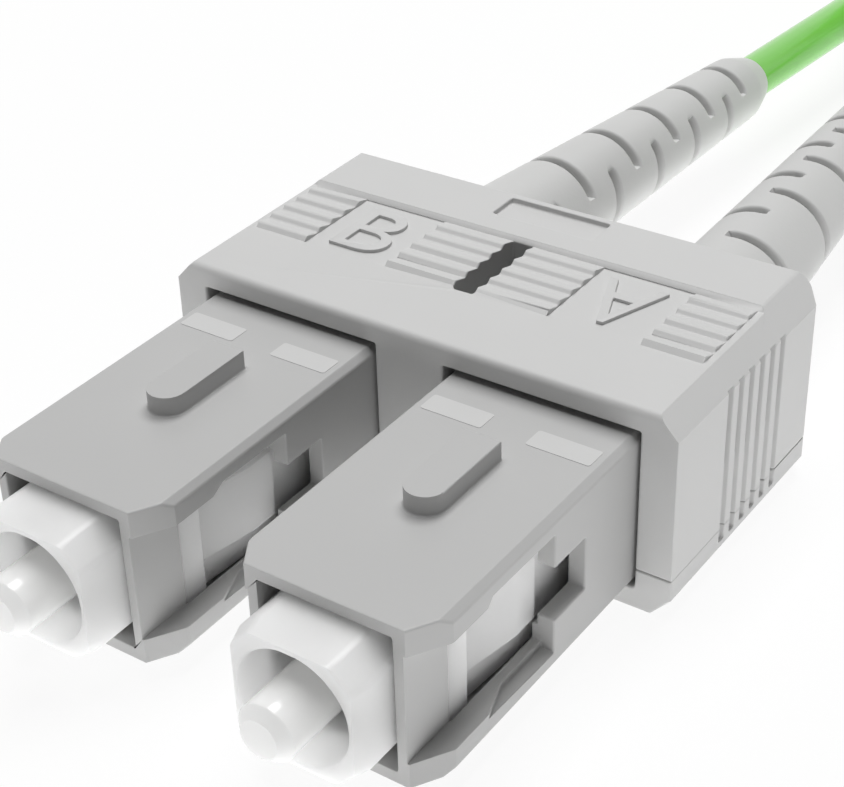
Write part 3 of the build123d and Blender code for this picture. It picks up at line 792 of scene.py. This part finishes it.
def makeYarnTree(shape):
    tree, given, result, calc = startTree("yarnTuft", (
        ("Base", "NodeSocketGeometry"),
        ("Yarns", "NodeSocketInt"),
        ("Length", "NodeSocketFloat"),
        ("Yarn radius", "NodeSocketFloat"),
        ("Inner", "NodeSocketFloat"),
        ("Spread", "NodeSocketFloat"),
        ("Sunk", "NodeSocketFloat"),
        ("Seed", "NodeSocketInt"),
        ("Material", "NodeSocketMaterial"),
    ), "Tuft")

    def chance(kind, low, high, shift):
        node = tree.nodes.new("FunctionNodeRandomValue")
        node.data_type = kind
        sockets = {"FLOAT": (2, 3, 1), "FLOAT_VECTOR": (0, 1, 0)}[kind]
        feed(tree, node.inputs[sockets[0]], low)
        feed(tree, node.inputs[sockets[1]], high)
        feed(tree, node.inputs["Seed"], calc("ADD", given["Seed"], shift))
        return node.outputs[sockets[2]]

    def place(x, y, z):
        node = tree.nodes.new("ShaderNodeCombineXYZ")
        for socket, value in zip(node.inputs, (x, y, z)):
            feed(tree, socket, value)
        return node.outputs[0]

    starts = tree.nodes.new("GeometryNodePoints")
    feed(tree, starts.inputs["Count"], given["Yarns"])
    angle = chance("FLOAT", 0.0, 2 * pi, 1)
    radius = chance("FLOAT", given["Inner"], given["Spread"], 2)
    startX = calc("MULTIPLY", radius, calc("COSINE", angle))
    startY = calc("MULTIPLY", radius, calc("SINE", angle))
    feed(tree, starts.inputs["Position"], place(startX, startY, 0.0))
    line = tree.nodes.new("GeometryNodeCurvePrimitiveBezierSegment")
    line.inputs["Resolution"].default_value = 6
    length = given["Length"]
    aside, onward = shape["lastHandle"]
    feed(tree, line.inputs["Start"], place(0.0, 0.0, calc("MULTIPLY", given["Sunk"], -1.0)))
    feed(tree, line.inputs["Start Handle"], (0, 0, shape["firstHandle"] * mm))
    handle = place(calc("MULTIPLY", length, aside), 0.0, calc("MULTIPLY", length, onward))
    feed(tree, line.inputs["End Handle"], handle)
    feed(tree, line.inputs["End"], place(calc("MULTIPLY", length, shape["tipAside"]), 0.0, length))
    ring = tree.nodes.new("GeometryNodeCurvePrimitiveCircle")
    ring.inputs["Resolution"].default_value = 4
    feed(tree, ring.inputs["Radius"], given["Yarn radius"])
    strand = tree.nodes.new("GeometryNodeCurveToMesh")
    strand.inputs["Fill Caps"].default_value = True
    tree.links.new(line.outputs[0], strand.inputs["Curve"])
    tree.links.new(ring.outputs[0], strand.inputs["Profile Curve"])
    many = tree.nodes.new("GeometryNodeInstanceOnPoints")
    tree.links.new(starts.outputs[0], many.inputs["Points"])
    tree.links.new(strand.outputs[0], many.inputs["Instance"])
    tilt = shape["tilt"]
    feed(tree, many.inputs["Rotation"], chance("FLOAT_VECTOR", (-tilt, -tilt, 0.0), (tilt, tilt, 2 * pi), 3))
    feed(tree, many.inputs["Scale"], chance("FLOAT", shape["shortest"], 1.0, 4))
    endTree(tree, many.outputs[0], given["Material"], result)
    return tree


yarnTree = makeYarnTree(yarnShape)


def makeYarn(tag, frameOfEnd, s):
    tuft = newObject(f"yarnTuft_{tag}", bpy.data.meshes.new(f"yarnTuft_{tag}"))
    runTree(tuft, yarnTree, {
        "Yarns": s["yarns"],
        "Length": s["yarnLength"] * mm,
        "Yarn radius": s["yarnRadius"] * mm,
        "Inner": (s["buffer"] + 0.08) * mm,
        "Spread": s["yarnSpread"] * mm,
        "Sunk": s["sunk"] * mm,
        "Seed": s["seeds"][tag],
        "Material": yarnFibre,
    })
    tuft.data.transform(frameOfEnd)
    return settle(tuft, f"plug_{tag}", "cord_jacket")


# copies of the moulded pieces with rounded edges, as wide as the faces beside each edge allow
softEdges = {
    "clip_upper": 0.12,
    "clip_lower": 0.12,
    "grip_a": 0.09,
    "grip_b": 0.09,
    "plug_frame_a": 0.22,
    "plug_frame_b": 0.22,
    "ferrule_a": 0.10,
    "ferrule_b": 0.10,
    "coil_tie_a": 0.12,
    "coil_tie_b": 0.12,
}
rounding = {
    "flat": 0.6,  # degrees, below which two faces are one
    "corner": 24.0,  # degrees, above which an edge is rounded
    "share": 0.3,  # of a face beside an edge that its rounding may take
    "least": 0.04,
    "segments": 3,
    "rounds": 5,
    "easings": 3,  # rounds in which a folded edge is eased, before it is left sharp
    "easing": 0.3,
    "near": 0.12,
    "fold": 140.0,  # degrees
}
clipFits = {
    "slack": 0.01,
    "tongueReach": 0.5,
    "tongueFront": -1.8,
    "tongueZ": (8.0, 8.6),
    "tongueTop": 3.4,  # the tongue stands deep in the centre slot
    "ribY": (-2.3, 2.6),
    "ribReach": 11.5,
    "ribFloor": 9.78,
    "ribShare": 0.9,  # ribs a little lower than the solid's
    "grooveFace": 12.45,
    "grooveFirst": -2.0,
    "groovePitch": 0.95,
    "grooves": 6,
    "grooveHalf": 0.16,
    "grooveMouth": 0.23,  # the side grooves open out to the face
}


def clipFit(spot):
    f = clipFits
    x, y, z = spot
    low, high = f["tongueZ"]
    if abs(x) < f["tongueReach"] and y > f["tongueFront"] and low < z < high:
        z = f["tongueTop"]
    front, rear = f["ribY"]
    if front < y < rear and z > f["ribFloor"] + f["slack"] and abs(x) < f["ribReach"]:
        z = f["ribFloor"] + (z - f["ribFloor"]) * f["ribShare"]
    if abs(x) > f["grooveFace"]:
        number = round((y - f["grooveFirst"]) / f["groovePitch"])
        away = y - f["grooveFirst"] - number * f["groovePitch"]
        if 0 <= number < f["grooves"] and abs(abs(away) - f["grooveHalf"]) < f["slack"]:
            y += (f["grooveMouth"] - f["grooveHalf"]) * (1 if away > 0 else -1)
    return Vector((x, y, z))


def foldSpots(mesh):
    # places where a rounded corner has run over itself
    bm = bmesh.new()
    bm.from_mesh(mesh)
    spots = []
    for edge in bm.edges:
        if edge.is_manifold and edge.calc_face_angle(0) > radians(rounding["fold"]):
            if min(face.calc_area() for face in edge.link_faces) > 1e-12:
                spots.append((edge.verts[0].co + edge.verts[1].co) / 2)
    bm.free()
    return spots


def distanceTo(edge, spot):
    low, high = edge.verts[0].co, edge.verts[1].co
    along = high - low
    share = min(max((spot - low).dot(along) / along.length_squared, 0), 1)
    return (low + along * share - spot).length


def softCopy(node, width, r):
    source = nodes[node].data
    mesh = bpy.data.meshes.new(f"{node}Base")
    mesh.from_pydata([v.co for v in source.vertices], [], [p.vertices[:] for p in source.polygons])
    bm = bmesh.new()
    bm.from_mesh(mesh)
    bmesh.ops.remove_doubles(bm, verts=bm.verts, dist=1e-6)
    if node.startswith("clip"):
        for v in bm.verts:
            v.co = clipFit(v.co / mm) * mm
    bmesh.ops.dissolve_limit(bm, angle_limit=radians(r["flat"]), verts=bm.verts, edges=bm.edges)
    bmesh.ops.triangulate(bm, faces=[face for face in bm.faces if len(face.verts) > 4])
    weights = bm.edges.layers.float.new("bevel_weight_edge")
    rounded = [e for e in bm.edges if e.is_manifold and e.calc_face_angle(0) > radians(r["corner"])]
    for edge in rounded:
        room = width * mm
        for face in edge.link_faces:
            room = min(room, r["share"] * face.calc_area() / edge.calc_length())
            for beside in face.edges:
                if beside is not edge and set(beside.verts) & set(edge.verts):
                    room = min(room, r["share"] * beside.calc_length())
        edge[weights] = room / (width * mm)
    for face in bm.faces:
        face.smooth = True
    piece = newObject(f"{node}Soft", mesh)
    mesh.materials.append(finishes[slotOf[node]])
    for attempt in range(r["rounds"]):
        for edge in rounded:
            edge.smooth = edge[weights] > r["least"]
        bm.to_mesh(mesh)
        piece.data = mesh
        bevel = piece.modifiers.new("softEdge", "BEVEL")
        bevel.width = width * mm
        bevel.segments = r["segments"]
        bevel.limit_method = "WEIGHT"
        bevel.use_clamp_overlap = False
        bevel.miter_outer = "MITER_ARC"
        bevel.harden_normals = True
        bakeModifiers(piece, keep=True)
        spots = foldSpots(piece.data)
        if not spots:
            break
        for edge in rounded:  # less rounding beside such a place
            if any(distanceTo(edge, spot) < r["near"] * mm for spot in spots):
                edge[weights] *= r["easing"] if attempt < r["easings"] else 0.0
    print(node, "rounded, folds left:", len(spots))
    bm.free()
    bpy.data.meshes.remove(mesh)
    return settle(piece, bodyOf[node], slotOf[node], node)


soft = {node: softCopy(node, width, rounding) for node, width in softEdges.items()}
print("moulded pieces softened")

for tag in cordRoutes:
    tip, points = cordPoints(tag)
    frameOfEnd = endFrame(points)
    cutEnd = [makeBuffer(tag, frameOfEnd, endSizes), makeYarn(tag, frameOfEnd, endSizes)]
    makeCord(tag, points, cordSizes)
print("cords laid")


# raised position letters on the clip's panels
letters = {
    "B": {"low": (-7.62, -1.70), "high": (-5.02, 1.98), "turned": False},
    "A": {"low": (4.84, -1.62), "high": (7.76, 1.92), "turned": True},
}
letterSizes = {
    "panelZ": 9.72,
    "height": 0.16,
    "sunk": 0.02,
    "soft": 0.05,
}


def makeLetter(sign, place, s):
    text = bpy.data.curves.new(f"letter{sign}", "FONT")
    text.body = sign
    text.resolution_u = 8
    drawn = newObject(f"letterDrawn{sign}", text)
    bpy.context.view_layer.update()
    graph = bpy.context.evaluated_depsgraph_get()
    flat = bpy.data.meshes.new_from_object(drawn.evaluated_get(graph), depsgraph=graph)
    bpy.data.objects.remove(drawn)
    bm = bmesh.new()
    bm.from_mesh(flat)
    bmesh.ops.remove_doubles(bm, verts=bm.verts, dist=1e-5)
    bmesh.ops.dissolve_limit(bm, angle_limit=radians(1), verts=bm.verts, edges=bm.edges, delimit=set())
    xs = [v.co.x for v in bm.verts]
    ys = [v.co.y for v in bm.verts]
    lowX, lowY = place["low"]
    highX, highY = place["high"]
    for v in bm.verts:
        u = (v.co.x - min(xs)) / (max(xs) - min(xs))
        t = (v.co.y - min(ys)) / (max(ys) - min(ys))
        if place["turned"]:
            u, t = 1 - u, 1 - t
        v.co = Vector((lowX + (highX - lowX) * u, lowY + (highY - lowY) * t, s["panelZ"] - s["sunk"])) * mm
    grown = bmesh.ops.extrude_face_region(bm, geom=list(bm.faces))
    for v in grown["geom"]:
        if isinstance(v, bmesh.types.BMVert):
            v.co.z = (s["panelZ"] + s["height"]) * mm
    bmesh.ops.recalc_face_normals(bm, faces=bm.faces)
    mesh = bpy.data.meshes.new(f"letter{sign}")
    bm.to_mesh(mesh)
    bm.free()
    bpy.data.meshes.remove(flat)
    mesh.materials.append(finishes["clip_plastic"])
    piece = newObject(f"letter{sign}", mesh)
    bevel = piece.modifiers.new("softRim", "BEVEL")
    bevel.width = s["soft"] * mm
    bevel.segments = 2
    bevel.limit_method = "ANGLE"
    bevel.angle_limit = radians(60)
    bakeModifiers(piece)
    piece.data.shade_smooth()
    piece.data.set_sharp_from_angle(angle=radians(38))
    return settle(piece, "clip", "clip_plastic")


for sign, place in letters.items():
    makeLetter(sign, place, letterSizes)
print("letters raised")


# pale marks printed on the grips
markSizes = {
    "near": 1.03,
    "far": 3.93,
    "front": -9.21,
    "rear": -8.08,
    "topZ": 8.45,
    "thick": 0.02,
    "sunk": 0.01,
    "corner": 0.12,
    "cornerSteps": 4,
}


def makeMark(tag, side, s):
    x0 = bootPlaces[tag]["x"]
    low, high = sorted((x0 + side * s["near"], x0 + side * s["far"]))
    c = s["corner"]
    outline = []
    for cx, cy, start in ((high - c, s["rear"] - c, 0), (low + c, s["rear"] - c, 90),
                          (low + c, s["front"] + c, 180), (high - c, s["front"] + c, 270)):
        for k in range(s["cornerSteps"] + 1):
            a = radians(start + 90 * k / s["cornerSteps"])
            outline.append((cx + c * cos(a), cy + c * sin(a)))
    bm = bmesh.new()
    face = bm.faces.new([bm.verts.new((x * mm, y * mm, (s["topZ"] - s["sunk"]) * mm)) for x, y in outline])
    grown = bmesh.ops.extrude_face_region(bm, geom=[face])
    for v in grown["geom"]:
        if isinstance(v, bmesh.types.BMVert):
            v.co.z = (s["topZ"] + s["thick"]) * mm
    bmesh.ops.recalc_face_normals(bm, faces=bm.faces)
    name = f"gripMark_{tag}_{'outer' if side * x0 > 0 else 'inner'}"
    mesh = bpy.data.meshes.new(name)
    bm.to_mesh(mesh)
    bm.free()
    mesh.materials.append(markPaint)
    return settle(newObject(name, mesh), "clip", "grip_plastic")


for tag in bootPlaces:
    for side in (1, -1):
        makeMark(tag, side, markSizes)
print("marks printed")


# floor and light: a pale light table under a wide soft lamp
stageLight = {
    "floorHalf": 1.5,
    "floorColour": 0.97,
    "floorGlow": 0.78,
    "floorWhite": 0.91,
    "worldStrength": 0.05,
    "keyPower": 4.0,
    "keyPlace": (-0.06, 0.15, 0.60),
    "keySize": (0.30, 0.60),
}


def seenRays(tree):
    path = tree.nodes.new("ShaderNodeLightPath")
    seen = mathNode(tree, "MAXIMUM", path.outputs["Is Camera Ray"], path.outputs["Is Glossy Ray"])
    return mathNode(tree, "MAXIMUM", seen, path.outputs["Is Transmission Ray"])


def makeFloor(s):
    bm = bmesh.new()
    bmesh.ops.create_grid(bm, x_segments=1, y_segments=1, size=s["floorHalf"])
    mesh = bpy.data.meshes.new("floor")
    bm.to_mesh(mesh)
    bm.free()
    floor = newObject("floor", mesh)
    material = bpy.data.materials.new("paleTable")
    material.use_nodes = True
    tree = material.node_tree
    shader = tree.nodes["Principled BSDF"]
    shader.inputs["Base Color"].default_value = (s["floorColour"],) * 3 + (1,)
    shader.inputs["Roughness"].default_value = 1
    shader.inputs["Specular IOR Level"].default_value = 0
    seen = seenRays(tree)
    white = tree.nodes.new("ShaderNodeEmission")
    white.inputs["Strength"].default_value = 1.0
    pale = tree.nodes.new("ShaderNodeMixShader")  # as it is seen: white, with the shadow left in
    pale.inputs["Fac"].default_value = s["floorWhite"]
    tree.links.new(shader.outputs[0], pale.inputs[1])
    tree.links.new(white.outputs[0], pale.inputs[2])
    glow = tree.nodes.new("ShaderNodeEmission")
    glow.inputs["Strength"].default_value = s["floorGlow"]
    lit = tree.nodes.new("ShaderNodeAddShader")  # as it lights the piece from below
    tree.links.new(shader.outputs[0], lit.inputs[0])
    tree.links.new(glow.outputs[0], lit.inputs[1])
    mix = tree.nodes.new("ShaderNodeMixShader")
    tree.links.new(seen, mix.inputs["Fac"])
    tree.links.new(lit.outputs[0], mix.inputs[1])
    tree.links.new(pale.outputs[0], mix.inputs[2])
    tree.links.new(mix.outputs[0], tree.nodes["Material Output"].inputs["Surface"])
    mesh.materials.append(material)


def makeLight(s):
    world = bpy.data.worlds.new("studio")
    bpy.context.scene.world = world
    world.use_nodes = True
    tree = world.node_tree
    background = tree.nodes["Background"]
    background.inputs["Color"].default_value = (1, 1, 1, 1)
    strength = tree.nodes.new("ShaderNodeMapRange")
    strength.inputs["To Min"].default_value = s["worldStrength"]
    strength.inputs["To Max"].default_value = 1.0
    tree.links.new(seenRays(tree), strength.inputs["Value"])
    tree.links.new(strength.outputs[0], background.inputs["Strength"])
    lamp = bpy.data.lights.new("keyLamp", "AREA")
    lamp.energy = s["keyPower"]
    lamp.shape = "RECTANGLE"
    lamp.size, lamp.size_y = s["keySize"]
    key = bpy.data.objects.new("keyLamp", lamp)
    bpy.context.scene.collection.objects.link(key)
    key.location = s["keyPlace"]


makeFloor(stageLight)
makeLight(stageLight)
bpy.context.scene.view_settings.view_transform = "Standard"
print("floor and light set")
